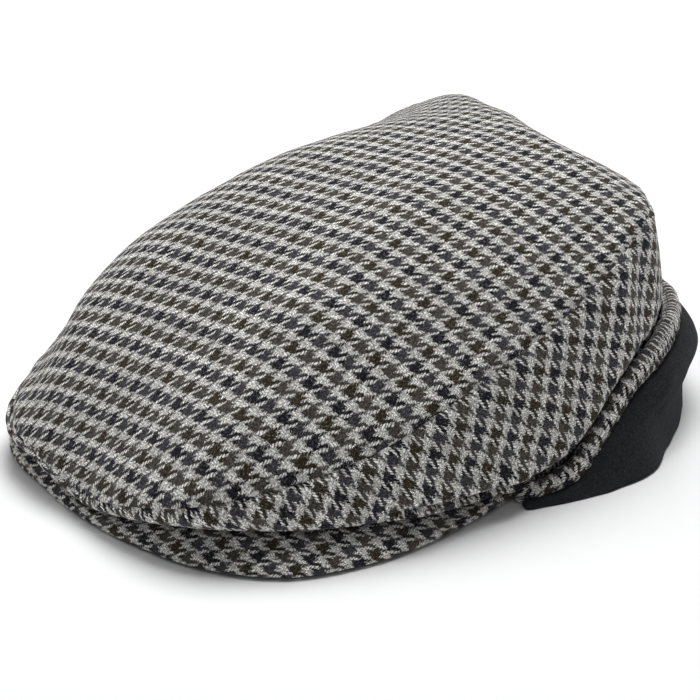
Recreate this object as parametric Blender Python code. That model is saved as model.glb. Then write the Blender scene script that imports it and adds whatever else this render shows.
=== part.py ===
"""Earflap cap: a three-panel flat cap in check tweed with a covered peak and a fleece band folded down.

Lengths are in metres. The front of the cap is toward -Y, the wearer's left toward +X, and it rests on z = 0.
"""

import math

import bmesh
import bpy
from mathutils import Matrix, Vector

# Driving sizes
FRONT_REACH = 0.1552  # head's middle to the tip of the peak
BACK_REACH = 0.0920  # head's middle to the back of the crown's lower edge
HALF_WIDTH = 0.0890  # head's middle to the crown's lower edge at the side
CROWN_HEIGHT = 0.1080  # floor to the crest of the crown
CREST_BACK = 0.0400  # head's middle back to the crest
CLOTH = 0.0020  # tweed wall, with its backing
PEAK_WALL = 0.0040  # stiffened peak, cloth on both sides
PEAK_DEPTH = 0.0520  # the head opening to the crown's lower edge, at the centre front
PEAK_ARM = 0.0120  # the same, where the peak ends at the temple
ROLL_HEIGHT = 0.0085  # rolled tweed edge, seen from outside
ROLL_DEPTH = 0.0066  # the same, from the crown outward
ROLL_END = 0.5  # how thick the rolled edge is at its two ends, as a share
ROLL_SWELL = 0.0625  # how far along it from each end, as a share, it reaches its full thickness
FLEECE = 0.0030  # ear band wall
BAND_SPREAD = 0.0190  # how far the ear band leans out over the ears, past the rolled edge
BAND_BULGE = 0.0102  # how far it bulges out at the back, past the rolled edge
GAP = 0.0003  # clearance between neighbouring pieces

# Where the peak ends and the ear band begins, as a turn from the centre front (0) to the centre back (1)
TEMPLE_TURN = 0.56

# Facets
COLUMNS = 36  # from the centre front to the centre back, on each side
TOP_ROWS = 12
SIDE_ROWS = 6
PEAK_COLUMNS = 20  # from the centre front to the temple
BAND_COLUMNS = 60  # from temple to temple
ROLL_SIDES = 10

# Colours
TWEED_COLOUR = (0.30, 0.29, 0.27)
FLEECE_COLOUR = (0.020, 0.021, 0.023)


def table(columns, *rows):
    """A table of hand-chosen shares, kept as one list for each named column."""
    return dict(zip(columns.split(), zip(*rows)))


# One row for each of eleven even turns from the centre front, round the left side, to the centre back.
# x is a share of HALF_WIDTH, y of FRONT_REACH ahead of the head's middle and BACK_REACH behind it, z of CROWN_HEIGHT.
# right is how much further out, as a share, a place lies on the right side, where the cap stands a little fuller.
SEAM = table(
    "x y z full round right",
    (0.00, -0.998, 0.105, 2.30, 0.80, 0.000),
    (0.33, -0.986, 0.160, 2.15, 0.80, 0.004),
    (0.63, -0.915, 0.230, 2.15, 0.80, 0.010),
    (0.83, -0.728, 0.290, 2.30, 0.85, 0.006),
    (0.94, -0.516, 0.360, 2.35, 0.90, 0.000),
    (0.99, -0.290, 0.480, 2.40, 0.95, 0.000),
    (0.99, -0.052, 0.590, 2.50, 1.00, 0.000),
    (0.93, 0.300, 0.710, 2.60, 1.00, 0.000),
    (0.80, 0.650, 0.810, 2.90, 1.00, 0.000),
    (0.46, 0.870, 0.770, 3.10, 1.00, 0.000),
    (0.00, 0.945, 0.720, 3.10, 1.00, 0.000),
)
EDGE = table(
    "x y z belly right",
    (0.00, -0.979, 0.056, 0.020, 0.000),
    (0.33, -0.947, 0.091, 0.030, 0.010),
    (0.64, -0.872, 0.126, 0.040, 0.026),
    (0.875, -0.715, 0.123, 0.045, 0.020),
    (0.985, -0.516, 0.096, 0.050, 0.005),
    (1.00, -0.290, 0.058, 0.060, 0.000),
    (1.00, -0.020, 0.065, 0.060, 0.000),
    (0.92, 0.330, 0.250, 0.050, 0.000),
    (0.83, 0.645, 0.330, 0.030, 0.000),
    (0.55, 0.926, 0.345, 0.030, 0.000),
    (0.00, 1.000, 0.340, 0.030, 0.000),
)

# The peak's outer edge: one row for each of seven even turns from the centre front to the temple.
PEAK = table(
    "x y z right",
    (0.00, -1.000, 0.039, 0.000),
    (0.345, -0.978, 0.038, 0.008),
    (0.68, -0.915, 0.038, 0.026),
    (0.94, -0.784, 0.038, 0.028),
    (1.055, -0.582, 0.038, 0.010),
    (1.055, -0.354, 0.038, 0.000),
    (0.995, -0.147, 0.038, 0.000),
)

# The crown's hollows (below 0) and swells, pushed up at the crest and outward at the seam. The turn runs from 0 to 2,
# all the way round, and down from 0 at the crest to 1 at the seam. wide and long are half sizes, push a share of
# CROWN_HEIGHT.
DENTS = table(
    "turn down wide long push",
    (1.84, 1.05, 0.08, 0.08, 0.015),
    (1.785, 0.95, 0.07, 0.05, -0.080),
    (1.70, 1.02, 0.06, 0.12, -0.045),
    (1.70, 0.80, 0.20, 0.35, 0.062),
    (1.32, 0.75, 0.14, 0.35, -0.070),
    (1.23, 0.92, 0.05, 0.20, -0.045),
    (1.16, 0.78, 0.05, 0.30, 0.045),
    (1.05, 0.45, 0.06, 0.15, 0.020),
    (1.00, 0.65, 0.13, 0.35, -0.085),
    (0.88, 0.62, 0.08, 0.30, -0.042),
)

# The ear band from the rolled edge to its hem. out is a share of BAND_SPREAD over the ears and of BAND_BULGE at the
# back, up a share of the height of the band's top.
BAND = table(
    "ear_out ear_up back_out back_up",
    (0.00, 1.00, 0.00, 1.00),
    (0.28, 0.94, 0.66, 0.96),
    (0.47, 0.80, 1.00, 0.86),
    (0.63, 0.61, 0.80, 0.71),
    (0.73, 0.43, 0.27, 0.54),
    (0.90, 0.22, 0.23, 0.26),
    (1.00, 0.00, 0.38, 0.00),
)

# How the ear band changes at seven even turns from the temple to the centre back: spread scales ear_out, and back
# is the share taken from the columns for the back.
BAND_TURNS = table(
    "spread back",
    (0.15, 0.00),
    (0.70, 0.00),
    (0.90, 0.05),
    (0.52, 0.40),
    (0.34, 0.70),
    (0.34, 0.90),
    (0.34, 1.00),
)


def column_at(values, share, odd=False, free=None):
    """A smooth curve through a column's values, mirrored at each end that lies on the centre line.

    free names the end that doesn't: "first" or "last". odd is for a column that changes sign in the mirror.
    """
    steps = len(values) - 1
    spot = min(max(share, 0.0), 1.0) * steps
    index = min(int(spot), steps - 1)
    part = spot - index
    start, end = values[index], values[index + 1]
    sign = -1.0 if odd else 1.0
    if index > 0:
        before = values[index - 1]
    else:
        before = 2 * start - end if free == "first" else sign * values[1]
    if index + 2 <= steps:
        after = values[index + 2]
    else:
        after = 2 * end - start if free == "last" else sign * values[steps - 1]
    slope_start = (end - before) / 2
    slope_end = (after - start) / 2
    rise = end - start
    bend = 3 * rise - 2 * slope_start - slope_end
    twist = slope_start + slope_end - 2 * rise
    return start + part * (slope_start + part * (bend + part * twist))


def fold_turn(turn):
    """A turn of 0 to 1 on the left side, and the sign of x, for a turn all the way round."""
    turn = turn % 2.0
    if turn > 1.0:
        return 2.0 - turn, -1.0
    return turn, 1.0


def place(columns, turn, last=1.0):
    """The point that a table's x, y and z shares give at a turn. last is the turn of the table's last row."""
    half, side = fold_turn(turn)
    share = half / last
    free = None if last == 1.0 else "last"
    along = column_at(columns["y"], share, free=free)
    reach = FRONT_REACH if along < 0 else BACK_REACH
    x = side * column_at(columns["x"], share, odd=True, free=free) * HALF_WIDTH
    fuller = 1 + column_at(columns["right"], share, free=free) if side < 0 else 1.0
    z = column_at(columns["z"], share, free=free) * CROWN_HEIGHT
    return Vector((x * fuller, along * reach * fuller, z))


def outward(turn):
    """The level direction out of the cap at a turn, square to the crown's lower edge."""
    step = 0.02
    run = place(EDGE, turn + step) - place(EDGE, turn - step)
    return Vector((run.y, -run.x, 0)).normalized()


def dent_at(turn, down):
    """How far the crown is pushed out or in at a place, as a length."""
    push = 0.0
    for middle, depth, wide, tall, share in zip(*DENTS.values()):
        off = (turn - middle + 1.0) % 2.0 - 1.0
        push += share * math.exp(-((off / wide) ** 2) - ((down - depth) / tall) ** 2)
    return push * CROWN_HEIGHT


def crown_point(turn, down):
    """The crown's outer face: down is 0 at the crest, 1 at the seam and 2 at the lower edge."""
    half = fold_turn(turn)[0]
    seam = place(SEAM, turn)
    out = outward(turn)
    if down <= 1.0:
        full = column_at(SEAM["full"], half)
        rounding = column_at(SEAM["round"], half)
        crest = Vector((0, CREST_BACK, CROWN_HEIGHT))
        point = crest.lerp(seam, down)
        point.z = seam.z + (crest.z - seam.z) * max(1 - down**full, 0) ** rounding
        return point + Vector((0, 0, 1)).lerp(out, down**2) * dent_at(turn, down) * min(1.0, 4 * down)
    share = down - 1.0
    edge = place(EDGE, turn)
    belly = column_at(EDGE["belly"], half) * HALF_WIDTH * 4 * share * (1 - share)
    return seam.lerp(edge, share) + out * (belly + dent_at(turn, 1.0) * (1 - share) ** 2)


def crown_normal(turn, down):
    """The crown's outward normal. At the seam it is the mean of both panels', so their edges meet in a mitre."""
    step = 0.01
    low = max(down - step, 0.004)
    high = min(down + step, 2.0)
    across = crown_point(turn + step, max(down, 0.02)) - crown_point(turn - step, max(down, 0.02))
    along = crown_point(turn, high) - crown_point(turn, low)
    return across.cross(along).normalized() * -1.0


def mesh_object(name, points, faces, colour, roughness):
    """An object with its own mesh and material, shaded smooth but for its sharp rims."""
    mesh = bpy.data.meshes.new(name)
    mesh.from_pydata([tuple(point) for point in points], [], faces)
    bm = bmesh.new()
    bm.from_mesh(mesh)
    bmesh.ops.recalc_face_normals(bm, faces=bm.faces)
    bm.to_mesh(mesh)
    bm.free()
    mesh.shade_smooth()
    mesh.set_sharp_from_angle(angle=math.radians(45))
    material = bpy.data.materials.new(name)
    material.use_nodes = True
    shader = material.node_tree.nodes["Principled BSDF"]
    shader.inputs["Base Color"].default_value = (*colour, 1)
    shader.inputs["Roughness"].default_value = roughness
    shader.inputs["Metallic"].default_value = 0.0
    mesh.materials.append(material)
    obj = bpy.data.objects.new(name, mesh)
    bpy.context.scene.collection.objects.link(obj)
    return obj


def wall_faces(rows, columns, closed):
    """Faces of a wall whose outer grid is followed by its inner grid, with the rims filled in."""
    size = rows * columns
    faces = []
    last = columns if closed else columns - 1
    for row in range(rows - 1):
        for column in range(last):
            after = (column + 1) % columns
            quad = (
                row * columns + column,
                row * columns + after,
                (row + 1) * columns + after,
                (row + 1) * columns + column,
            )
            faces.append(quad)
            faces.append(tuple(size + corner for corner in reversed(quad)))
    if closed:
        borders = [[(row, column) for column in range(columns)] for row in (0, rows - 1)]
    else:
        ring = [(0, column) for column in range(columns)]
        ring += [(row, columns - 1) for row in range(1, rows)]
        ring += [(rows - 1, column) for column in reversed(range(columns - 1))]
        ring += [(row, 0) for row in reversed(range(1, rows - 1))]
        borders = [ring]
    for border in borders:
        for start, end in zip(border, border[1:] + border[:1]):
            first = start[0] * columns + start[1]
            second = end[0] * columns + end[1]
            faces.append((first, second, size + second, size + first))
    return faces


def wall_object(name, outer, inner, colour, roughness, closed=False):
    """A wall between two grids of points of the same size."""
    points = [point for grid in (outer, inner) for row in grid for point in row]
    faces = wall_faces(len(outer), len(outer[0]), closed)
    return mesh_object(name, points, faces, colour, roughness)


def top_panel():
    """The panel over the crown, from a small ring at the crest, which is closed by a fan, down to the seam."""
    turns = [column / COLUMNS for column in range(2 * COLUMNS)]
    outer = []
    inner = []
    for row in range(1, TOP_ROWS + 1):
        down = math.sin(math.pi / 2 * row / TOP_ROWS)
        outer_row = []
        inner_row = []
        for turn in turns:
            seam_length = (crown_point(turn, 1.0) - crown_point(turn, 0.95)).length / 0.05
            at = min(down, 1.0 - GAP / 2 / seam_length)
            point = crown_point(turn, at)
            outer_row.append(point)
            inner_row.append(point - crown_normal(turn, down) * CLOTH)
        outer.append(outer_row)
        inner.append(inner_row)
    points = [point for grid in (outer, inner) for row in grid for point in row]
    columns = len(turns)
    size = len(outer) * columns
    faces = wall_faces(len(outer), columns, closed=True)
    del faces[-2 * columns : -columns]  # the rim round the crest, which the fans close
    crest = Vector((0, CREST_BACK, CROWN_HEIGHT))
    points += [crest, crest - Vector((0, 0, CLOTH))]
    for column in range(columns):
        after = (column + 1) % columns
        faces.append((2 * size, after, column))
        faces.append((2 * size + 1, size + column, size + after))
    return mesh_object("top_panel", points, faces, TWEED_COLOUR, 0.9)


def side_panel(name, side):
    """One side panel, from the seam to the lower edge and from the centre front to the centre back."""
    outer = []
    inner = []
    for row in range(SIDE_ROWS + 1):
        down = 1.0 + row / SIDE_ROWS
        outer_row = []
        inner_row = []
        for column in range(COLUMNS + 1):
            turn = column / COLUMNS
            if side < 0:
                turn = 2.0 - turn
            side_length = (crown_point(turn, 1.05) - crown_point(turn, 1.0)).length / 0.05
            point = crown_point(turn, max(down, 1.0 + GAP / 2 / side_length))
            within = point - crown_normal(turn, down) * CLOTH
            for corner in (point, within):
                corner.x = side * max(side * corner.x, GAP / 2)
            outer_row.append(point)
            inner_row.append(within)
        outer.append(outer_row)
        inner.append(inner_row)
    return wall_object(name, outer, inner, TWEED_COLOUR, 0.9)


def turn_of(turn, length):
    """The turn that a length along the crown's lower edge takes."""
    step = 0.01
    return length * 2 * step / (place(EDGE, turn + step) - place(EDGE, turn - step)).length


def brim():
    """The peak: a crescent from the head opening, under the crown's edge, to its outer edge."""
    top = []
    bottom = []
    last = TEMPLE_TURN - turn_of(TEMPLE_TURN, GAP)
    temple = place(EDGE, last)
    opening = 1 - PEAK_DEPTH / (temple.y - place(EDGE, 0).y)
    for column in range(2 * PEAK_COLUMNS + 1):
        turn = last * (column / PEAK_COLUMNS - 1.0)
        out = outward(turn)
        rim = place(PEAK, turn, last=TEMPLE_TURN)
        under = place(EDGE, turn) - Vector((0, 0, GAP)) - out * CLOTH
        root = Vector((under.x * (1 - PEAK_ARM / HALF_WIDTH), temple.y + (under.y - temple.y) * opening, under.z))
        line = [root.lerp(under, step / 3) for step in range(3)]
        line += [under.lerp(rim, step / 3) for step in range(4)]
        top.append(line)
        bottom.append([Vector((point.x, point.y, max(point.z - PEAK_WALL, 0))) for point in line])
    return wall_object("brim", top, bottom, TWEED_COLOUR, 0.9)


def roll_share(off):
    """How thick the rolled edge is, as a share, at a distance from the nearer temple."""
    return min(1.0, ROLL_END + (1 - ROLL_END) * off / ROLL_SWELL)


def roll_middle(turn):
    """The middle of the rolled edge, which lies against the outside of the crown's lower edge."""
    return place(EDGE, turn) + outward(turn) * (GAP + ROLL_DEPTH / 2)


def band_turns():
    """The turns from temple to temple round the back, and how far each is from the nearer temple."""
    first = TEMPLE_TURN + turn_of(TEMPLE_TURN, GAP)
    for column in range(BAND_COLUMNS + 1):
        turn = first + (2.0 - 2 * first) * column / BAND_COLUMNS
        yield turn, min(column, BAND_COLUMNS - column) / BAND_COLUMNS


def edge_roll():
    """The rolled tweed edge, from temple to temple round the back."""
    points = []
    for turn, off in band_turns():
        middle = roll_middle(turn)
        taper = roll_share(off)
        for corner in range(ROLL_SIDES):
            angle = 2 * math.pi * corner / ROLL_SIDES
            out = outward(turn) * math.cos(angle) * ROLL_DEPTH / 2 * taper
            points.append(middle + out + Vector((0, 0, math.sin(angle) * ROLL_HEIGHT / 2 * taper)))
    faces = []
    for column in range(BAND_COLUMNS):
        for corner in range(ROLL_SIDES):
            after = (corner + 1) % ROLL_SIDES
            first = column * ROLL_SIDES
            second = first + ROLL_SIDES
            faces.append((first + corner, first + after, second + after, second + corner))
    faces.append(tuple(range(ROLL_SIDES)))
    faces.append(tuple(BAND_COLUMNS * ROLL_SIDES + corner for corner in reversed(range(ROLL_SIDES))))
    return mesh_object("edge_roll", points, faces, TWEED_COLOUR, 0.9)


def band_line(turn, off):
    """The ear band's outer face at a turn, from under the rolled edge down to the hem on the floor."""
    half = fold_turn(turn)[0]
    share = (half - TEMPLE_TURN) / (1 - TEMPLE_TURN)
    spread = column_at(BAND_TURNS["spread"], share, free="first") * BAND_SPREAD
    back = column_at(BAND_TURNS["back"], share, free="first")
    edge = place(EDGE, turn)
    start = GAP + ROLL_DEPTH / 2 + FLEECE
    height = edge.z - roll_share(off) * ROLL_HEIGHT / 2 - GAP
    line = []
    for ear_out, ear_up, back_out, back_up in zip(*BAND.values()):
        out = start + ear_out * spread * (1 - back) + back_out * BAND_BULGE * back
        point = edge + outward(turn) * out
        point.z = height * (ear_up * (1 - back) + back_up * back)
        line.append(point)
    return line


def earflap():
    """The ear band, folded out over the rolled edge and down to the floor."""
    outer = []
    inner = []
    for turn, off in band_turns():
        line = band_line(turn, off)
        out = outward(turn)
        within = []
        for row, point in enumerate(line):
            run = line[min(row + 1, len(line) - 1)] - line[max(row - 1, 0)]
            normal = (out * -run.z + Vector((0, 0, run.dot(out)))).normalized()
            if row in (0, len(line) - 1):
                normal = out
            shifted = point - normal * FLEECE
            shifted.z = max(shifted.z, 0.0)
            within.append(shifted)
        outer.append(line)
        inner.append(within)
    return wall_object("earflap", outer, inner, FLEECE_COLOUR, 0.95)


def stand_at_origin(objects):
    """Move the finished pieces together, so that the bottom centre of the box around them is at the origin."""
    corners = [vertex.co for obj in objects for vertex in obj.data.vertices]
    low = Vector(min(corner[axis] for corner in corners) for axis in range(3))
    high = Vector(max(corner[axis] for corner in corners) for axis in range(3))
    shift = Vector((-(low.x + high.x) / 2, -(low.y + high.y) / 2, -low.z))
    for obj in objects:
        obj.data.transform(Matrix.Translation(shift))


def build():
    for obj in list(bpy.data.objects):
        bpy.data.objects.remove(obj, do_unlink=True)
    pieces = [
        top_panel(),
        side_panel("side_panel_left", 1),
        side_panel("side_panel_right", -1),
        brim(),
        edge_roll(),
        earflap(),
    ]
    stand_at_origin(pieces)


build()
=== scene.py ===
# %% [markdown]
# # An earflap cap in check tweed
# The cap is sewn from three pieces of tweed: a top panel, and two side panels that meet at the centre
# front and the centre back. A covered peak stands out below them. A fleece ear band, edged with a roll of
# the tweed, folds down round the back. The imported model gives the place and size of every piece, so the
# lesson starts by loading it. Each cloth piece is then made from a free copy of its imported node: merged,
# made finer, creased, and given its weave.

import math

import bpy
import numpy as np
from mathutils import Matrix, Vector, kdtree, noise


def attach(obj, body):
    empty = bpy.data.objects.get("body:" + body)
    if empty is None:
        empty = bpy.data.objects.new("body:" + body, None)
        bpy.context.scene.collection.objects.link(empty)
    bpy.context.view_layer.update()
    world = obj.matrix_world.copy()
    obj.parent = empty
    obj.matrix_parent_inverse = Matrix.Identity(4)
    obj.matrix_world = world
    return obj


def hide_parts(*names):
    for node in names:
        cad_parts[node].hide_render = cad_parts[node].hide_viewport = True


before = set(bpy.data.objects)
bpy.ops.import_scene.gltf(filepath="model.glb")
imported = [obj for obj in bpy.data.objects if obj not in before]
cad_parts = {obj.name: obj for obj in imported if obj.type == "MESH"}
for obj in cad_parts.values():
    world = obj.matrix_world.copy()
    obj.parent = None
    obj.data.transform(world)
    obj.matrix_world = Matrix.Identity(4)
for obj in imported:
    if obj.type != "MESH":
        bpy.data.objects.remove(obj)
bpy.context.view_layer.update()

# %% [markdown]
# ## Camera
# The photograph was taken from the wearer's front left and from above, from far enough away that the cap
# hardly tapers. A long lens at 1.2 m gives that view. The camera is turned a little away from the cap's
# middle, which puts the cap in the frame where the photograph has it, with no lens shift.

# %% Place the camera
MM = 0.001
azimuth = math.radians(50)
elevation = math.radians(25)
back = Vector((
    math.sin(azimuth) * math.cos(elevation),
    -math.cos(azimuth) * math.cos(elevation),
    math.sin(elevation),
))
right = Vector((math.cos(azimuth), math.sin(azimuth), 0))
up = back.cross(right)
cap_middle = Vector((4.0, 23.5, 50.0)) * MM
off_middle = 24.6 * MM
distance = 1.2
aim = cap_middle - off_middle * (right + up)

camera = bpy.data.objects.new("camera", bpy.data.cameras.new("camera"))
camera.data.lens = 160.46
camera.location = cap_middle + distance * back
camera.rotation_euler = (camera.location - aim).to_track_quat("Z", "Y").to_euler()
bpy.context.collection.objects.link(camera)
bpy.context.scene.camera = camera
print("camera at", tuple(round(part, 3) for part in camera.location))

# %% [markdown]
# ## Floor and light
# A product photograph like this is taken on white paper under a large soft light. A bright even sky would
# do, but a sky alone leaves the cloth flat. One large lamp overhead, a little behind the cap, models the
# folds and leaves the sides and the peak in a soft shade, as in the photograph. A weak lamp at the front,
# on the picture's left, lifts the nearest part of the crown.

# %% Lay the floor
bpy.context.scene.view_settings.view_transform = "Standard"
bpy.ops.object.select_all(action="DESELECT")
bpy.ops.mesh.primitive_plane_add(size=6, location=(0, 0, 0))
floor = bpy.context.active_object
floor.name = "floor"
print("floor in metres", tuple(floor.dimensions))

# %% Hang the lamps
LAMPS = (
    # name, place in metres, width, watts
    ("overhead", (-0.45, 0.65, 2.2), 1.5, 58.0),
    ("left_front", (-1.6, -1.0, 1.5), 1.2, 8.0),
)
for name, spot, width, watts in LAMPS:
    lamp = bpy.data.lights.new(name, "AREA")
    lamp.size = width
    lamp.energy = watts
    holder = bpy.data.objects.new(name, lamp)
    holder.location = spot
    holder.rotation_euler = (Vector(spot) - cap_middle).to_track_quat("Z", "Y").to_euler()
    bpy.context.collection.objects.link(holder)
print("lamps", [row[0] for row in LAMPS])

# %% [markdown]
# ## Three small helpers for materials
# Colours are written as sRGB hex values, as a picture editor shows them, and turned to the linear values
# that a shader works in. A second helper starts a material with its constant finish, which belongs on the
# shader's own inputs. The third adds one node, with its settings and links, so that a material reads as a
# list.


# %% Colour, material and node helpers
def linear(hex_code):
    """The linear RGBA of an sRGB hex colour such as "C8C6C0"."""
    shares = [int(hex_code[start:start + 2], 16) / 255 for start in (0, 2, 4)]
    return (*[share / 12.92 if share < 0.04045 else ((share + 0.055) / 1.055) ** 2.4 for share in shares], 1)


def material(name, **finish):
    """A new material, its node tree and its Principled BSDF, with the finish set on that shader's inputs."""
    made = bpy.data.materials.new(name)
    made.use_nodes = True
    principled = made.node_tree.nodes["Principled BSDF"]
    for key, value in finish.items():
        principled.inputs[key.replace("_", " ")].default_value = value
    return made, made.node_tree, principled


def add(tree, kind, *values, out=0, **named):
    """Add a node and return one of its outputs.

    The values go to its first inputs. A name with a capital is an input too, and _ with a number gives an
    input's place. Any other name is a setting. A value that is another node's output is linked.
    """
    made = tree.nodes.new("ShaderNode" + kind)
    inputs = dict(enumerate(values))
    for key, value in named.items():
        if key[0].isupper():
            inputs[key] = value
        elif key[0] == "_":
            inputs[int(key[1:])] = value
        else:
            setattr(made, key, value)
    for place, value in inputs.items():
        if isinstance(value, bpy.types.NodeSocket):
            tree.links.new(value, made.inputs[place])
        else:
            made.inputs[place].default_value = value
    return made.outputs[out]


# %% Paper of the floor, and the sky
# Matt white background paper. It bounces light up under the cap and takes a soft shadow. Its grain of 2.5 mm
# only just shows.
paper, paper_tree, shader = material("matt_white_paper", Roughness=1.0, Specular_IOR_Level=0.0)
grain = add(paper_tree, "TexNoise", Scale=400.0, Detail=3.0)
tone = add(paper_tree, "MapRange", grain, _3=0.94, _4=0.96)
white = add(paper_tree, "CombineColor", tone, tone, tone)
paper_tree.links.new(white, shader.inputs["Base Color"])
floor.data.materials.append(paper)

world = bpy.data.worlds.new("white_room")
world.use_nodes = True
sky = world.node_tree.nodes["Background"]
sky.inputs["Color"].default_value = linear("F6F8FB")
sky.inputs["Strength"].default_value = 0.17
bpy.context.scene.world = world
print("floor of", paper.name, "in a", world.name)

# %% [markdown]
# ## Houndstooth tweed
# The cloth is a 2/2 twill in wool: every thread passes over two and under two, one step further along in
# each row, and so the surface shows diagonal ribs. Pale and dark groups of threads take turns, eight
# threads to a repeat, both ways. Where the two meet, the twill's steps draw the broken check that is
# called houndstooth. Every second dark group has another colour: navy and olive one way, charcoal and grey
# the other. The yarns are hairy, and shed on each other, so that where two dark ones cross the eye sees
# their mean: near black, slate, dark olive or brown.
#
# A picture of the cloth could be laid on, but it would need an image. The weave is a rule, so it is worked
# out instead: whole numbers of thread spacings say which two threads cross at a place, and the twill's rule
# says which is on top. The UV map of each cloth piece is its flat pattern in metres, and so the threads keep
# their real spacing.

# %% Threads and wools
THREAD = 0.905 * MM  # spacing of the threads, as thick hand-spun yarn has it
REPEAT = 8  # threads from one pale group to the next
DARK_WARP = 4  # of these are dark in the warp
DARK_WEFT = 5  # of these are dark in the weft
TWILL = 4.0  # threads until the twill starts again: over two and under two
CLOTH_MAP = "cloth"  # name of the UV maps that hold the flat pattern

WHITE_WOOL = linear("E4E2DD")
CHARCOAL_WOOL = linear("121113")
GREY_WOOL = linear("535153")
NAVY_WOOL = linear("1E2130")
OLIVE_WOOL = linear("493C25")
LOOSE_HAIR = linear("A6A49F")
print("a check in mm", REPEAT * THREAD / MM, "and with its second colours", 2 * REPEAT * THREAD / MM)

# %% [markdown]
# Hand-spun yarn wanders slowly over several checks, and kinks from thread to thread. So each place on the
# cloth is shifted a little by two noises before its threads are counted. Wool in twill is matt, with a
# faint sheen from its loose fibres.

# %% Uneven cloth
# Grains to a metre of cloth, and how far they shift it. A grain is 22 mm wide, and then 2.4 mm.
WANDER = (45.0, 1.6 * MM)
KINKS = (420.0, 1.1 * MM)

tweed, weave, wool = material(
    "houndstooth_wool_tweed",
    Roughness=0.95, IOR=1.45, Specular_IOR_Level=0.15, Sheen_Weight=0.05, Sheen_Roughness=0.5,
)
flat_place = add(weave, "UVMap", uv_map=CLOTH_MAP)
uneven = flat_place
for grains, shift in (WANDER, KINKS):
    swing = add(weave, "TexNoise", out="Color", noise_dimensions="2D",
                Vector=flat_place, Scale=grains, Detail=1.0)
    uneven = add(weave, "VectorMath", swing, (shift,) * 3, uneven, operation="MULTIPLY_ADD")
threads = add(weave, "VectorMath", uneven, operation="SCALE", Scale=1 / THREAD)
across = add(weave, "SeparateXYZ", threads)
along = across.node.outputs["Y"]
print("nodes of the uneven cloth", len(weave.nodes))

# %% [markdown]
# The warp runs up the cloth and is counted across it. The weft runs across and is counted along. Each
# thread is a little cylinder. It floats over two others, and dives under its neighbours at both ends. The
# warp is drawn tight and thin, so that the softer weft swells past it and covers more of the face.


# %% Which thread is on top
GAP = 0.3  # height of the gap between two threads, as a share of the threads' height
WARP_SHOWS = 0.22  # the warp is seen where it stands higher than this


def float_share(first, second, start):
    """How far a thread has come along its float over two others: 0 to 1, and on to 2 while it lies below."""
    past = add(weave, "Math", first, second, operation="SUBTRACT")
    past = add(weave, "Math", past, start, operation="ADD")
    past = add(weave, "Math", past, TWILL, operation="FLOORED_MODULO")
    return add(weave, "Math", past, 2 / TWILL, operation="MULTIPLY")


def arch(share):
    """A half wave: 1 at the middle of a share of 0 to 1, falling off to the gap's height at both ends."""
    turn = add(weave, "Math", share, math.pi, operation="MULTIPLY")
    wave = add(weave, "Math", turn, operation="SINE")
    return add(weave, "Math", wave, GAP, operation="MAXIMUM")


warp = add(weave, "Math", across, operation="FLOOR")
weft = add(weave, "Math", along, operation="FLOOR")
warp_round = arch(add(weave, "Math", across, operation="FRACT"))
weft_round = arch(add(weave, "Math", along, operation="FRACT"))
# The starts are such that a share runs from 0 to 1 just where its thread is on top: on the twill's steps 0
# and 1 for the warp, and 2 and 3 for the weft.
warp_float = arch(float_share(warp, along, 1.0))
weft_float = arch(float_share(across, weft, -2.0))

step = add(weave, "Math", warp, weft, operation="SUBTRACT")
step = add(weave, "Math", step, TWILL, operation="FLOORED_MODULO")
warp_turn = add(weave, "Math", step, 1.5, operation="LESS_THAN")
warp_body = add(weave, "Math", warp_float, warp_round, operation="MULTIPLY")
warp_shows = add(weave, "Math", warp_body, WARP_SHOWS, operation="GREATER_THAN")
on_top = add(weave, "Math", warp_turn, warp_shows, operation="MULTIPLY")
print("nodes with the twill", len(weave.nodes))

# %% [markdown]
# Hairs of each thread lie across its neighbours, and so every colour ends in small flames at its sides. A
# noise that is drawn out along the weft makes them for the warp's colours, and one along the warp for the
# weft's.

# %% Colours of the yarns
FLAMES = (2900, 800)  # grains to a metre: 0.35 mm wide and 1.25 mm long
FLAME_REACH = 2.8  # threads that the longest flame would cross


def streaks(grains, detail):
    """Noise drawn out into hairs, with its grains to a metre across the cloth and along it."""
    grid = add(weave, "VectorMath", uneven, (*grains, 0), operation="MULTIPLY")
    return add(weave, "TexNoise", noise_dimensions="2D", Vector=grid, Scale=1.0, Detail=detail)


def dyed_thread(where, hairs):
    """The number of the thread whose colour shows here. A flame of hairs brings a neighbour's."""
    reach = add(weave, "Math", hairs, FLAME_REACH, where, operation="MULTIPLY_ADD")
    return add(weave, "Math", reach, operation="FLOOR")


def is_past(thread, count, repeat):
    """1 for the threads that come after the first few of each repeat, and 0 for those."""
    number = add(weave, "Math", thread, repeat, operation="FLOORED_MODULO")
    return add(weave, "Math", number, count - 0.5, operation="GREATER_THAN")


# A Mix node has its factor at input 0, plain numbers at 2 and 3, and colours at 6 and 7. Its mixed colour is
# output 2.
COLOURS = {"data_type": "RGBA", "out": 2}
warp_dye = dyed_thread(across, streaks(FLAMES[::-1], 2.0))
weft_dye = dyed_thread(along, streaks(FLAMES, 2.0))
warp_second = is_past(warp_dye, REPEAT, 2 * REPEAT)
weft_second = is_past(weft_dye, REPEAT, 2 * REPEAT)
warp_dark = add(weave, "Mix", warp_second, _6=CHARCOAL_WOOL, _7=GREY_WOOL, **COLOURS)
weft_dark = add(weave, "Mix", weft_second, _6=NAVY_WOOL, _7=OLIVE_WOOL, **COLOURS)
mingled = add(weave, "Mix", 0.5, _6=warp_dark, _7=weft_dark, **COLOURS)
warp_pale = is_past(warp_dye, DARK_WARP, REPEAT)
weft_pale = is_past(weft_dye, DARK_WEFT, REPEAT)
warp_wool = add(weave, "Mix", warp_pale, _6=mingled, _7=WHITE_WOOL, **COLOURS)
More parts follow.
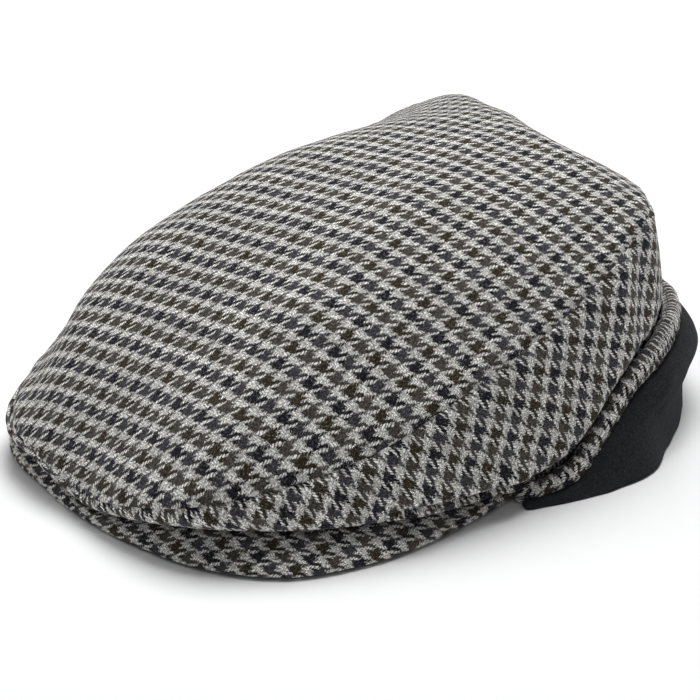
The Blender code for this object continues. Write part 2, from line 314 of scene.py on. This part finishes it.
weft_wool = add(weave, "Mix", weft_pale, _6=mingled, _7=WHITE_WOOL, **COLOURS)
woven = add(weave, "Mix", on_top, _6=weft_wool, _7=warp_wool, **COLOURS)
print("nodes with the colours", len(weave.nodes))

# %% [markdown]
# No two threads took the dye alike, and each is a twist of lighter and darker fibres. Shade is painted in
# too: the colour is darker down between the threads and where they dive under, where less light gets in,
# and lighter on their round tops. Loose grey hairs lie over all of it. So the woven colour is multiplied by
# one factor for each of these. A Map Range node turns the usual range of a noise into such a factor.

# %% Ribs, fibres and tones
# Grains to a metre, across the warp and along it.
FIBRES = (2600, 800)  # 0.4 mm wide and 1.25 mm long
STRAYS = (3100, 1000)  # 0.3 mm wide and 1 mm long
WEAR = 260.0  # 3.8 mm
NAP = 2400.0  # 0.4 mm


def thread_tone(thread, seed):
    """Brightness of one whole thread, 0.85 to 1.15 by chance. Any seed gives another set of chances."""
    number = add(weave, "Math", thread, 7.31, seed, operation="MULTIPLY_ADD")
    chance = add(weave, "TexWhiteNoise", noise_dimensions="1D", W=number)
    return add(weave, "Math", chance, 0.3, 0.85, operation="MULTIPLY_ADD")


cross = add(weave, "Mix", on_top, _2=weft_round, _3=warp_round)
dive = add(weave, "Mix", on_top, _2=weft_float, _3=warp_float)
rib = add(weave, "Math", cross, 0.6, operation="MULTIPLY")
rib = add(weave, "Math", dive, 0.4, rib, operation="MULTIPLY_ADD")

fibres = add(weave, "Mix", on_top, _2=streaks(FIBRES[::-1], 3.0), _3=streaks(FIBRES, 3.0))
wear = add(weave, "TexNoise", noise_dimensions="2D", Vector=flat_place, Scale=WEAR, Detail=2.0)
nap = add(weave, "TexNoise", noise_dimensions="2D", Vector=flat_place, Scale=NAP, Detail=1.0)
own_tone = add(weave, "Mix", on_top, _2=thread_tone(weft, 0.3), _3=thread_tone(warp, 5.7))
fibre_tone = add(weave, "MapRange", fibres, 0.36, 0.64, 0.46, 1.46)
wear_tone = add(weave, "MapRange", wear, 0.25, 0.75, 0.86, 1.14)
# Painted shade and highlight: the colour is darker between the threads and at their dives, and lighter on
# their round tops.
rib_shade_painted = add(weave, "MapRange", rib, 0.3, 1.0, 0.5, 1.2)
nap_tone = add(weave, "MapRange", nap, 0.3, 0.7, 0.6, 1.4)

fine = add(weave, "Math", fibre_tone, wear_tone, operation="MULTIPLY")
coarse = add(weave, "Math", rib_shade_painted, own_tone, operation="MULTIPLY")
tone = add(weave, "Math", fine, coarse, operation="MULTIPLY")
tone = add(weave, "Math", tone, nap_tone, operation="MULTIPLY")
toned = add(weave, "VectorMath", woven, operation="SCALE", Scale=tone)
strays = add(weave, "MapRange", streaks(STRAYS, 3.0), 0.58, 0.72, 0.0, 0.55)
haired = add(weave, "Mix", strays, _6=toned, _7=LOOSE_HAIR, **COLOURS)
weave.links.new(haired, wool.inputs["Base Color"])
print("nodes with the tones", len(weave.nodes))

# %% Relief of the threads
# The threads stand 0.35 mm high. That is too fine for the mesh, so it is a bump.
relief = add(weave, "Math", fibres, 0.7, rib, operation="MULTIPLY_ADD")
bump = add(weave, "Bump", Strength=0.55, Distance=0.35 * MM, Height=relief)
weave.links.new(bump, wool.inputs["Normal"])
print(tweed.name, "has", len(weave.nodes), "nodes")

# %% [markdown]
# ## Fleece
# The ear band is a brushed black fleece. It has no threads to see, only a short matted pile: a soft grain
# of about a millimetre with finer lint in it, and a dull sheen where the surface turns away. Real hairs
# could make the pile, but from this far away they would only show as grain. So it is noise, in the object's
# own coordinates, as the pile has no direction.

# %% Fleece material
MAT = 1100.0  # grains to a metre, each 0.9 mm
TUFTS = 260.0  # and 3.8 mm for the tufts under them

fleece, pile, shader = material(
    "brushed_black_fleece", Roughness=1.0, Specular_IOR_Level=0.1, Sheen_Weight=0.06, Sheen_Roughness=0.6,
)
here = add(pile, "TexCoord", out="Object")
mat = add(pile, "TexNoise", Vector=here, Scale=MAT, Detail=4.0, Roughness=0.75)
tufts = add(pile, "TexNoise", Vector=here, Scale=TUFTS, Detail=3.0, Roughness=0.6)
mat_tone = add(pile, "MapRange", mat, 0.3, 0.75, 0.0, 1.0)
matted = add(pile, "Mix", mat_tone, _6=linear("121315"), _7=linear("35363A"), **COLOURS)
pile.links.new(matted, shader.inputs["Base Color"])
relief = add(pile, "Math", tufts, 1.2, mat, operation="MULTIPLY_ADD")
bump = add(pile, "Bump", Strength=0.9, Distance=0.6 * MM, Height=relief)
pile.links.new(bump, shader.inputs["Normal"])
print("materials", [made.name for made in (paper, tweed, fleece)])

# %% [markdown]
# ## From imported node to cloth
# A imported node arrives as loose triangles, and as a wall with an inner and an outer face. A tailor starts
# from one layer of cloth. So a copy of the node is merged, its triangles are joined into four-sided faces,
# and only the outer skin is kept. The subdivision, the creases and the thickness come after the flat
# pattern has been laid out.


# %% Select and pick
def only(piece):
    """Select one piece and nothing else."""
    bpy.ops.object.select_all(action="DESELECT")
    piece.select_set(True)
    bpy.context.view_layer.objects.active = piece


def pick(piece, kind, is_wanted):
    """Go into edit mode with only the vertices, edges or polygons selected that is_wanted says yes to."""
    only(piece)
    kinds = ("vertices", "edges", "polygons")
    bpy.context.tool_settings.mesh_select_mode = [kind == each for each in kinds]
    for each in kinds:
        elements = getattr(piece.data, each)
        elements.foreach_set("select", [kind == each and is_wanted(one) for one in elements])
    bpy.ops.object.mode_set(mode="EDIT")


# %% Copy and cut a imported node
SAME_PLACE = 0.01 * MM  # vertices that lie closer together than this are one


def copy_of(node, name):
    """A free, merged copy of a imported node, in four-sided faces where it can be."""
    piece = bpy.data.objects.new(name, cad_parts[node].data.copy())
    bpy.context.collection.objects.link(piece)
    piece.data.name = name
    piece.data.materials.clear()
    only(piece)
    bpy.ops.object.mode_set(mode="EDIT")
    bpy.ops.mesh.select_all(action="SELECT")
    bpy.ops.mesh.remove_doubles(threshold=SAME_PLACE)
    bpy.ops.mesh.customdata_custom_splitnormals_clear()
    bpy.ops.mesh.mark_sharp(clear=True)
    flattest, squarest = math.radians(40), math.radians(80)
    bpy.ops.mesh.tris_convert_to_quads(face_threshold=flattest, shape_threshold=squarest)
    bpy.ops.mesh.faces_shade_smooth()
    bpy.ops.object.mode_set(mode="OBJECT")
    return piece


def keep_outer_skin(piece, toward):
    """Keep the faces that join smoothly with the one that lies furthest in a direction."""
    seed = max(piece.data.polygons, key=lambda face: face.center.dot(Vector(toward))).index
    pick(piece, "polygons", lambda face: face.index == seed)
    bpy.ops.mesh.faces_select_linked_flat(sharpness=math.radians(42))
    bpy.ops.mesh.select_all(action="INVERT")
    bpy.ops.mesh.delete(type="FACE")
    bpy.ops.object.mode_set(mode="OBJECT")


# %% [markdown]
# ## Laying out the flat pattern
# The minimum stretch unwrap flattens a skin as a pattern cutter would, with as little stretch as it can. It
# fills the unit square, though, and in any direction. So the map is then scaled until it has the skin's
# real area in metres, and turned until a chosen line on the piece runs straight up the cloth.


# %% Points, area and map of a piece
def points_of(piece):
    """The places of a piece's vertices in metres, one row each."""
    places = np.empty(3 * len(piece.data.vertices))
    piece.data.vertices.foreach_get("co", places)
    return places.reshape(-1, 3)


def cloth_area(piece):
    """Area of a piece's faces in square metres."""
    return sum(face.area for face in piece.data.polygons)


def map_of(piece):
    """The place on the map of each corner of a piece's faces, one row each."""
    flat = np.empty(2 * len(piece.data.loops))
    piece.data.uv_layers.active.data.foreach_get("uv", flat)
    return flat.reshape(-1, 2)


def set_map(piece, flat):
    """Give each corner of a piece's faces its place on the map."""
    piece.data.uv_layers.active.data.foreach_set("uv", flat.ravel())


# %% Lay a piece flat
def unwrap(piece):
    """Flatten a piece into a new map, scaled so that it has the piece's own area."""
    only(piece)
    bpy.ops.object.mode_set(mode="EDIT")
    bpy.ops.mesh.select_all(action="SELECT")
    bpy.ops.mesh.uv_texture_add()
    bpy.ops.uv.unwrap(method="MINIMUM_STRETCH", margin=0.0)
    bpy.ops.object.mode_set(mode="OBJECT")
    piece.data.uv_layers.active.name = CLOTH_MAP
    flat = map_of(piece)
    area = 0.0
    for face in piece.data.polygons:
        x, y = flat[face.loop_start:face.loop_start + face.loop_total].T
        area += abs(np.dot(x, np.roll(y, 1)) - np.dot(y, np.roll(x, 1))) / 2
    return flat * math.sqrt(cloth_area(piece) / area)


def lay_flat(piece, start, end, quarter_turn=False, is_measured=lambda face: True):
    """Unwrap a piece in metres, so that the line from start to end on it runs along the threads.

    The result is the width and length of the flat pattern of the faces that is_measured says yes to.
    """
    flat = unwrap(piece)
    points = points_of(piece)
    corner = np.empty(len(piece.data.loops), int)
    piece.data.loops.foreach_get("vertex_index", corner)

    def place_of(spot):
        """The place on the map of the vertex that lies nearest to a spot."""
        nearest = np.argmin(((points - np.array(spot)) ** 2).sum(1))
        return flat[np.where(corner == nearest)[0][0]].copy()

    run = place_of(end) - place_of(start)
    turn = math.pi / 2 - math.atan2(run[1], run[0]) + (math.pi / 2 if quarter_turn else 0)
    cosine, sine = math.cos(turn), math.sin(turn)
    flat = flat @ np.array([[cosine, sine], [-sine, cosine]])
    flat -= place_of(start)
    set_map(piece, flat)
    measured = [loop for face in piece.data.polygons if is_measured(face) for loop in face.loop_indices]
    size = np.ptp(flat[measured], axis=0)
    print(piece.name, "flat pattern in mm", [round(side / MM) for side in size])
    return tuple(size)


# %% [markdown]
# ## Cloth pulled out of true
# On the finished cap the lines of the check aren't square to it. The cloth was pulled askew when it was
# steamed over the block, and the threads lie closer one way than the other. The photograph shows this as
# lines that lean more and more toward the back. A true map could be turned by one angle, but then only one
# place would match. So the lean is written as a few shares of the place on the flat pattern, and of its
# squares, which bend the lines gently.

# %% Lean of the threads
# Shares of u, v, u*u, u*v and v*v, for the new u and then for the new v.
LEAN = {
    "top": ((1.14, -0.06, -0.17, 0.18, 0.06), (-0.05, 0.97, 0.06, -0.18, 0.04)),
    "left": ((1.03, -0.52, 0, 0, 0), (0.32, 0.83, 0, 0, 0)),
    "right": ((1.03, 0.52, 0, 0, 0), (-0.32, 0.83, 0, 0, 0)),
    "peak": ((0.77, 0.72, 0.11, -0.16, 0.26), (0.04, 0.89, -0.12, -0.13, -0.13)),
}
LEAN_UNIT = 100 * MM  # what counts as 1 for u and v


def lean(piece, name):
    """Pull the threads of a laid out piece out of true."""
    u, v = map_of(piece).T / LEAN_UNIT
    terms = np.array([u, v, u * u, u * v, v * v])
    set_map(piece, (np.array(LEAN[name]) @ terms * LEAN_UNIT).T)
    print(name, "threads leaned")


# %% [markdown]
# ## Cutting the crown
# The top panel's copy has 72 faces that meet in one point at the crest, and a subdivided surface puckers
# there. That fan is cut out, and the hole is filled with a grid of four-sided faces. The side panels need
# no such mend.


# %% Open edges
def edge_uses(piece):
    """How many faces each edge has, by the edge's two vertices. An open edge has one."""
    uses = {}
    for face in piece.data.polygons:
        for key in face.edge_keys:
            uses[key] = uses.get(key, 0) + 1
    return uses


# %% Top panel as a single skin
FAN_REACH = 30 * MM  # the hole's edges lie closer to the crest than this

top = copy_of("top_panel", "top_panel_cloth")
keep_outer_skin(top, (0, 0, 1))
crest = max(top.data.vertices, key=lambda vertex: vertex.co.z).co.copy()
pick(top, "vertices", lambda vertex: (vertex.co - crest).length < SAME_PLACE)
bpy.ops.mesh.delete(type="VERT")
bpy.ops.object.mode_set(mode="OBJECT")
uses = edge_uses(top)
open_edges = [edge for edge in top.data.edges if uses[edge.key] == 1]
hole = [edge.index for edge in open_edges
        if (top.data.vertices[edge.vertices[0]].co - crest).length < FAN_REACH]
pick(top, "edges", lambda edge: edge.index in hole)
bpy.ops.mesh.fill_grid(span=len(hole) // 4)
bpy.ops.mesh.select_all(action="SELECT")
bpy.ops.mesh.normals_make_consistent(inside=False)
bpy.ops.mesh.faces_shade_smooth()
bpy.ops.object.mode_set(mode="OBJECT")
print("edges round the hole", len(hole), "faces now", len(top.data.polygons))

# %% Side panels as single skins
SIDES = (("left", 1), ("right", -1))
sides = {}
for side, direction in SIDES:
    sides[side] = copy_of(f"side_panel_{side}", f"side_panel_{side}_cloth")
    keep_outer_skin(sides[side], (direction, 0, 0))
skins = {"top": top, **sides}
print("skins in square cm", [round(10000 * cloth_area(skin)) for skin in skins.values()])

# %% [markdown]
# The top panel's threads run front to back along its centre line. On a side panel the cloth is turned a
# quarter, so that the coloured lines stand upright beside the wearer's ear.


# %% Add and apply a modifier
def apply(piece, kind, **settings):
    """Add a modifier, set it and apply it."""
    only(piece)
    made = piece.modifiers.new(kind.lower(), kind)
    for key, value in settings.items():
        setattr(made, key, value)
    bpy.ops.object.modifier_apply(modifier=made.name)


# %% Flat patterns of the crown
flat_sizes = {"top": lay_flat(top, (0, -130 * MM, 12 * MM), crest)}
for side, direction in SIDES:
    # A line straight up the panel, behind the temple.
    low = (direction * 94 * MM, 20 * MM, 12 * MM)
    high = (direction * 94 * MM, 20 * MM, 70 * MM)
    flat_sizes[side] = lay_flat(sides[side], low, high, quarter_turn=True)
for name, skin in skins.items():
    lean(skin, name)
    levels = 2 if name == "top" else 3
    apply(skin, "SUBSURF", levels=levels, render_levels=levels, boundary_smooth="PRESERVE_CORNERS")
    print(skin.name, len(skin.data.polygons), "faces")

# %% [markdown]
# ## Seams of the crown
# Where two panels are sewn, both edges turn inward and are steamed flat. So the two skins' edges are first
# moved to the line between them, which closes the seam. The skins could be joined into one mesh, but then
# the panels would no longer be pieces of their own. An edge point with another skin close by is on a seam,
# and the others make the crown's free lower edge.


# %% Seam lines of the crown
def tree_of(points):
    """A tree that finds the nearest of some points."""
    made = kdtree.KDTree(len(points))
    for index, point in enumerate(points):
        made.insert(point, index)
    made.balance()
    return made


def rim_of(skin):
    """Place, normal and index of each vertex on a skin's open edge."""
    indices = sorted({vertex for key, times in edge_uses(skin).items() if times == 1 for vertex in key})
    rim = [skin.data.vertices[index] for index in indices]
    return [(vertex.co.copy(), vertex.normal.copy(), vertex.index) for vertex in rim]


SEWN = 2.5 * MM  # edges that lie nearer to each other than this are sewn together

seam_points = []
seam_normals = []
free_points = []
rims = {name: rim_of(skin) for name, skin in skins.items()}
closing = {name: {} for name in skins}  # way to the seam line, for each vertex on one
for name, rim in rims.items():
    others = [entry for other in rims if other != name for entry in rims[other]]
    near = tree_of([point for point, _, _ in others])
    for point, normal, own in rim:
        _, index, distance = near.find(point)
        if distance < SEWN:
            seam_points.append(point)
            seam_normals.append((normal + others[index][1]).normalized())
            closing[name][own] = (others[index][0] - point) / 2
        else:
            free_points.append(point)
seams = tree_of(seam_points)
free_edge = tree_of(free_points)
print("points on seams", len(seam_points), "on the free edge", len(free_points))

# %% [markdown]
# ## Folds and the turned edge
# A seam shows as a shallow valley, with the cloth swelling a little on both sides and drawn into small
# puckers. Along the free lower edge the cloth is turned in, and above the peak it sags into one low fold.
# Elsewhere a soft cap is never as smooth as its pattern: it waves gently, and has a few broad folds.
#
# A cloth simulation makes folds of its own, and not these, so they are put in place by formulas. Most of
# them are a push along the surface's normal. It depends on how far a point lies from the nearest seam, from
# the free edge and from a few listed folds. Every part of it is a hump, a ramp or a soft
# noise, so these come first.


# %% Humps, ramps and ripples
def hump(distance, width):
    """1 at distance 0, and falling off smoothly on both sides, to about a third at the width."""
    return math.exp(-(distance / width) ** 2)


def ramp(value, start, end):
    """0 up to the start, 1 past the end, and even between them."""
    return min(1.0, max(0.0, (value - start) / (end - start)))


def humps(distance, rows):
    """The sum of a few humps. A row is one hump's height, its place and its width, in mm."""
    return sum(height * hump(distance - place, width) for height, place, width in rows)


def ripple(point, height, length, start=0):
    """Soft waves of a height and a length, in mm. Another start gives other waves."""
    return height * noise.noise(point / length + Vector((start, 0, 0)))


# %% Where the folds lie
# Heights, places and widths in mm, by the distance from a seam or from the free edge.
SEAM = ((-0.8, 0, 1.6), (0.5, 5.0, 3.2))
ROLL_OVERHANG = ((1.8, 12, 6), (-2.2, 3.5, 3))
LOW_FOLD = ((3.4, 10.5, 4.0), (-4.4, 4.8, 1.8), (0.9, 1.5, 1.8))
FOLDS = (
    # middle in mm, direction along which the fold lies, half sizes along and across it, and push
    ((78, -62, 22), (-0.55, -0.83, 0.0), 26, 5.0, 1.6),
    ((84, -30, 18), (0.10, -0.99, -0.1), 22, 4.0, 1.2),
    ((86, -40, 30), (0.20, -0.95, 0.2), 28, 4.0, -1.2),
    ((84, 57, 60), (-0.15, 0.0, 1.0), 26, 6.0, 1.6),
    ((80, 72, 60), (-0.15, 0.0, 1.0), 26, 6.0, -1.8),
)


# %% Pushes of the crown
def fold_push(point):
    """Push of the broad folds at a point, in mm."""
    push = 0.0
    for middle, direction, length, width, height in FOLDS:
        off = point - Vector(middle)
        along_fold = off.dot(Vector(direction).normalized())
        across_fold = math.sqrt(max(off.length_squared - along_fold * along_fold, 0.0))
        push += height * hump(along_fold, length) * hump(across_fold, width)
    return push


def crown_push(point, to_seam, to_edge):
    """Push along the normal in mm, at a point with its distances from a seam and from the free edge."""
    # The turned edge is stiffer than the cloth, so the waves and the broad folds die down toward it.
    calm = 1 - 0.8 * hump(to_edge, 9)
    soft = ripple(point, 1.1, 42) + ripple(point, 0.45, 17, start=7) + fold_push(point)
    sewn = humps(to_seam, SEAM) + ripple(point, 0.8, 5.5) * hump(to_seam, 7)
    turned_in = -1.3 * max(0.0, 1 - to_edge / 2.2) ** 2
    # From the temple on the crown hangs over the roll, and at the back it does so less.
    over_roll = ramp(point.y, -16, -2) * max(0.3, ramp(point.y, 100, 60))
    overhang = over_roll * humps(to_edge, ROLL_OVERHANG)
    # The low fold lies in front of that, over the end of the peak.
    over_peak = ramp(point.y, -60, -46) * ramp(point.y, 12, -4)
    return calm * soft + sewn + turned_in + overhang + over_peak * humps(to_edge, LOW_FOLD)


# %% [markdown]
# In three places the cloth has also sunk. It sags at the temple, it has settled behind it, and at the
# front right the crown droops over the peak. A push along the normal can't do this, so these are shifts.


# %% Sags of the crown
def droop_share(point):
    """How much a place in mm lies at the front right, where the crown droops over the peak: 0 to 1."""
    return hump(point.x + 62, 24) * ramp(point.y, -90, -105)


def settle(point):
    """Shift in mm of the crown's side, and of the roll under it, behind the temple."""
    return Vector((math.copysign(1.8, point.x), 0, -3.0)) * hump(point.y - 38, 24)


def crown_shift(point, to_edge):
    """Shift in mm of a point of the crown, at its distance from the free edge."""
    sag = 2.3 * hump(point.y - 5, 10) * hump(to_edge, 9)
    droop = droop_share(point) * hump(to_edge, 16)
    shift = Vector((-2.4 * droop, -2.8 * droop, -8.0 * droop - sag))
    return shift + settle(point) * hump(to_edge, 18)


def crown_place(vertex, closed):
    """New place of a vertex of the crown. closed has the way to the seam line, for vertices on a seam."""
    point = vertex.co / MM
    _, seam, to_seam = seams.find(vertex.co)
    to_seam /= MM
    to_edge = free_edge.find(vertex.co)[2] / MM
    outward = vertex.normal.lerp(seam_normals[seam], hump(to_seam, 2.5)).normalized()
    shift = outward * crown_push(point, to_seam, to_edge) + crown_shift(point, to_edge)
    return vertex.co + closed.get(vertex.index, Vector()) + shift * MM


# %% Push the crown into shape
def reshape(piece, new_place):
    """Move every vertex of a piece to the place that new_place works out for it."""
    places = [new_place(vertex)[:] for vertex in piece.data.vertices]
    piece.data.vertices.foreach_set("co", np.array(places).ravel())
    piece.data.update()


WALL = 1.8 * MM  # thickness of the tweed

for name, skin in skins.items():
    reshape(skin, lambda vertex: crown_place(vertex, closing[name]))
    apply(skin, "SOLIDIFY", thickness=WALL, offset=-1.0)
    skin.data.materials.append(tweed)
print("crown pieces", [len(skin.data.polygons) for skin in skins.values()])

# %% [markdown]
# Each panel is listed with the imported node it stands for, the name of its flat pattern and the pieces it
# rests on. It is attached to the root body, and its imported node is hidden.

PANELS = (
    (top, "top_panel", "top", []),
    (sides["left"], "side_panel_left", "left", ["brim"]),
    (sides["right"], "side_panel_right", "right", ["brim"]),
)
for piece, node, pattern, rests_on in PANELS:
    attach(piece, "root")
    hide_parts(node)
print("panels declared", [row[1] for row in PANELS])

# %% [markdown]
# ## Peak
# The peak is a stiff crescent with the tweed pulled over it. The top cloth wraps the rim and meets the
# underside's cloth in a fine line low on the edge. The crescent could be cut from a flat plate and bent,
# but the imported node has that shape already. So its rim is bevelled round, and the line where the two cloths
# meet is marked as a seam.

# %% Peak
UNDERSIDE = -0.8  # the faces of the underside look down more than this

peak = copy_of("brim", "peak_cloth")
pick(peak, "edges", lambda edge: False)
bpy.ops.mesh.edges_select_sharp(sharpness=math.radians(50))
bpy.ops.mesh.bevel(offset=1.4 * MM, segments=2, affect="EDGES")
bpy.ops.object.mode_set(mode="OBJECT")
pick(peak, "polygons", lambda face: face.normal.z < UNDERSIDE)
bpy.ops.mesh.region_to_loop()
bpy.ops.mesh.mark_seam(clear=False)
bpy.ops.object.mode_set(mode="OBJECT")
rim_middle = (0, -128 * MM, 4 * MM)
root_middle = (0, -100 * MM, 8 * MM)
peak_flat = lay_flat(peak, rim_middle, root_middle, is_measured=lambda face: face.normal.z > 0)
apply(peak, "SUBSURF", levels=2, render_levels=2)

# %% [markdown]
# The cloth was laid on the peak from above. So its map isn't the unwrapped one, which gave only the sizes,
# but the peak's plan, drawn longer where the top slopes and where the rim turns down.

# %% Check of the peak
rim_top = 4.1 * MM  # under this height the cloth turns down over the rim
slope_top = 12 * MM  # and from this height it slopes down to the rim
slope_gain = 0.4  # length that the slope adds to the plan, as a share of its drop
plan = []
for face in peak.data.polygons:
    for loop in face.loop_indices:
        vertex = peak.data.vertices[peak.data.loops[loop].vertex_index]
        drop = 0.0
        slope = 0.0
        if face.normal.z > UNDERSIDE:
            drop = max(0.0, rim_top - vertex.co.z)
            slope = slope_gain * max(0.0, slope_top - max(vertex.co.z, rim_top))
        # Where the cloth lies nearly level it has no outward side, so the slope's part fades away there.
        level = Vector((vertex.normal.x, vertex.normal.y))
        outward = level.normalized() * min(1.0, 2 * level.length)
        plan.append((Vector((vertex.co.x, vertex.co.y)) + level * drop + outward * slope)[:])
set_map(peak, np.array(plan))
lean(peak, "peak")

# %% [markdown]
# The stiffener keeps the peak smooth, so it only waves a little. The line where the two cloths meet is
# pressed in. Both ends are drawn in and flattened under the crown.

# %% Push the peak into shape
ON_FLOOR = 0.1 * MM  # no piece goes lower than this

joined = {vertex for edge in peak.data.edges if edge.use_seam for vertex in edge.vertices}
joint = tree_of([peak.data.vertices[index].co.copy() for index in joined])


def peak_place(vertex):
    """New place of a vertex of the peak."""
    point = vertex.co / MM
    pressed = 0.45 * hump(joint.find(vertex.co)[2] / MM, 0.45)
    push = ripple(point, 0.5, 22) + ripple(point, 0.25, 7) - pressed
    spot = vertex.co + vertex.normal * push * MM
    end = hump(max(0.0, 4 - point.y), 6)
    spot.x -= math.copysign(2.4, spot.x) * end * MM
    spot.y += 2.5 * end * MM
    spot.z *= 1 - 0.38 * end
    # Under the crown's droop the rim bends in toward its end, and out toward its front.
    bend = (2 * ramp(point.x, -39, -75) - 1) * droop_share(point)
    spot += Vector((1.0, 1.3, 0)) * bend * MM
    spot.z = max(spot.z, ON_FLOOR)
    return spot


reshape(peak, peak_place)
peak.data.materials.append(tweed)
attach(peak, "root")
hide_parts("brim")
print("points on the line between the peak's cloths", len(joined))

# %% [markdown]
# ## Rolled edge
# Above the fleece the tweed is rolled over, from temple to temple. A curve with a round bevel would make
# such a roll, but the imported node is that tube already, in its place. Its rings are found by walking from
# one end, edge by edge, which gives the middle line of the roll.

# %% Middle line of the roll
END_DEPTH = 1.0 * MM  # the tube's end ring lies within this of its foremost point

roll = copy_of("edge_roll", "edge_roll_cloth")
neighbours = {vertex.index: set() for vertex in roll.data.vertices}
for edge in roll.data.edges:
    one, other = edge.vertices
    neighbours[one].add(other)
    neighbours[other].add(one)
left_half = [vertex for vertex in roll.data.vertices if vertex.co.x > 0]
front_end = min(vertex.co.y for vertex in left_half)
first_ring = {vertex.index for vertex in left_half if vertex.co.y < front_end + END_DEPTH}
rings = [first_ring]
seen = set(first_ring)
while rings[-1]:
    onward = {other for one in rings[-1] for other in neighbours[one]} - seen
    seen |= onward
    rings.append(onward)
rings.pop()
middles = [sum((roll.data.vertices[index].co for index in ring), Vector()) / len(ring) for ring in rings]
line = np.array(middles)
print("rings along the roll", len(rings), "of", sorted({len(ring) for ring in rings}))

# %% [markdown]
# Each vertex of the finer tube is then found again by two numbers: how far it lies along that line, and at
# what angle round it.

# %% Ways along and round the roll
apply(roll, "SUBSURF", levels=2, render_levels=2)
steps = line[1:] - line[:-1]
lengths = np.linalg.norm(steps, axis=1)
starts = np.concatenate([[0], np.cumsum(lengths)[:-1]])
roll_length = lengths.sum()
ways = []
for point in points_of(roll):
    share = np.clip(((point - line[:-1]) * steps).sum(1) / lengths ** 2, 0, 1)
    feet = line[:-1] + steps * share[:, None]
    nearest = np.argmin(((point - feet) ** 2).sum(1))
    sideways = np.cross(steps[nearest] / lengths[nearest], (0, 0, 1))
    off = point - feet[nearest]
    way = starts[nearest] + share[nearest] * lengths[nearest]
    ways.append((way, math.atan2(off[2], off @ sideways)))
print("roll", len(roll.data.polygons), "faces, mm long", round(roll_length / MM))

# %% [markdown]
# The map runs along the line and round the tube, a little aslant, so that the check follows the roll. At
# the back more cloth is drawn together than lies along the roll, and the check shows there only as fine
# ribs.

# %% Check of the roll
ROLL_RADIUS = 3.9 * MM
ROLL_LOWEST = 0.6 * MM  # the ends of the roll stay this far above the floor
GATHER_START = 62  # mm from the temple, where the cloth starts to be drawn together
GATHER_RISE = 25  # mm further on it is drawn together as closely as at the back
SLANT = 0.25  # of the check against the roll
half_way = roll_length / 2


def gathered(way):
    """Length of cloth from a temple to a place on the roll. At the back, three lengths of it go into one."""
    from_temple = half_way - abs(way - half_way)
    past = max(0.0, from_temple / MM - GATHER_START)
    extra = past ** 2 / (2 * GATHER_RISE) if past < GATHER_RISE else past - GATHER_RISE / 2
    return from_temple + 2 * extra * MM


roll.data.uv_layers.new(name=CLOTH_MAP)
wrapped = []
for face in roll.data.polygons:
    middle = ways[roll.data.loops[face.loop_start].vertex_index][1]
    for loop in face.loop_indices:
        way, angle = ways[roll.data.loops[loop].vertex_index]
        # An angle that has jumped by a whole turn within the face is brought back beside the face's first.
        angle = middle + (angle - middle + math.pi) % (2 * math.pi) - math.pi
        length = math.copysign(gathered(half_way) - gathered(way), way - half_way)
        wrapped.append((angle * ROLL_RADIUS, length + SLANT * angle * ROLL_RADIUS))
set_map(roll, np.array(wrapped))
print("cloth in the roll in mm", round(2 * gathered(half_way) / MM))

# %% [markdown]
# The cloth got small lumps where it was rolled over, and fine ribs where it is drawn together. At both
# temples the roll swells, and is tucked in under the crown.


# %% Push the roll into shape
def ring_noise(way, angle, length, radius):
    """Noise with grains of a length in mm along the roll. With a small radius they go round it as rings."""
    return noise.noise(Vector((way / MM / length, radius * math.cos(angle), radius * math.sin(angle))))


def roll_place(vertex):
    """New place of a vertex of the roll."""
    way, angle = ways[vertex.index]
    from_end = min(way, roll_length - way) / MM
    ribbed = 0.2 + 0.9 * ramp(from_end, GATHER_START, GATHER_START + GATHER_RISE)
    swollen = 0.9 + 0.7 * hump(from_end, 6)
    push = swollen + 0.9 * ring_noise(way, angle, 8, 1.2) + ribbed * ring_noise(way, angle, 1.9, 0.3)
    tucked = Vector((-math.copysign(3.5, vertex.co.x), -0.5, -2.0)) * hump(from_end, 9)
    spot = vertex.co + (vertex.normal * push + tucked + settle(vertex.co / MM)) * MM
    spot.z = max(spot.z, ROLL_LOWEST)
    return spot


reshape(roll, roll_place)
roll.data.materials.append(tweed)
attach(roll, "root")
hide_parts("edge_roll")
print("lowest point of the roll in mm", round(points_of(roll)[:, 2].min() / MM, 1))

# %% [markdown]
# ## Ear band
# The fleece band is one soft strip that is folded out over the roll and hangs to the floor. Being thick,
# it bends in broad curves, with one long soft ridge that rises toward the back, and a rounded hem. Its two
# ends are drawn in under the roll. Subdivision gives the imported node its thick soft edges, and the same
# humps and ripples as on the crown do the rest.


# %% Ear band
def band_place(vertex):
    """New place of a vertex of the ear band."""
    point = vertex.co / MM
    # The ridge climbs from 3 mm to 27 mm above the floor, and fades out at both of its ends.
    along_ridge = ramp(point.y, 26, 85)
    above_ridge = point.z - 3 - 24 * along_ridge ** 0.8
    ridge = 1.3 * hump(above_ridge, 1.6) * min(1.0, 8 * along_ridge, 8 * (1 - along_ridge))
    push = ripple(point, 0.9, 24) + ripple(point, 0.35, 9) + ridge
    spot = vertex.co + vertex.normal * push * MM
    tip = hump(max(0.0, point.y - 4), 6)
    spot.x -= math.copysign(1.5, spot.x) * tip * MM
    spot.y -= 3.0 * tip * MM
    spot.z *= 1 - 0.25 * tip
    spot.z = max(spot.z, ON_FLOOR)
    return spot


band = copy_of("earflap", "earflap_fleece")
apply(band, "SUBSURF", levels=2, render_levels=2)
reshape(band, band_place)
band.data.materials.append(fleece)
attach(band, "root")
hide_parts("earflap")
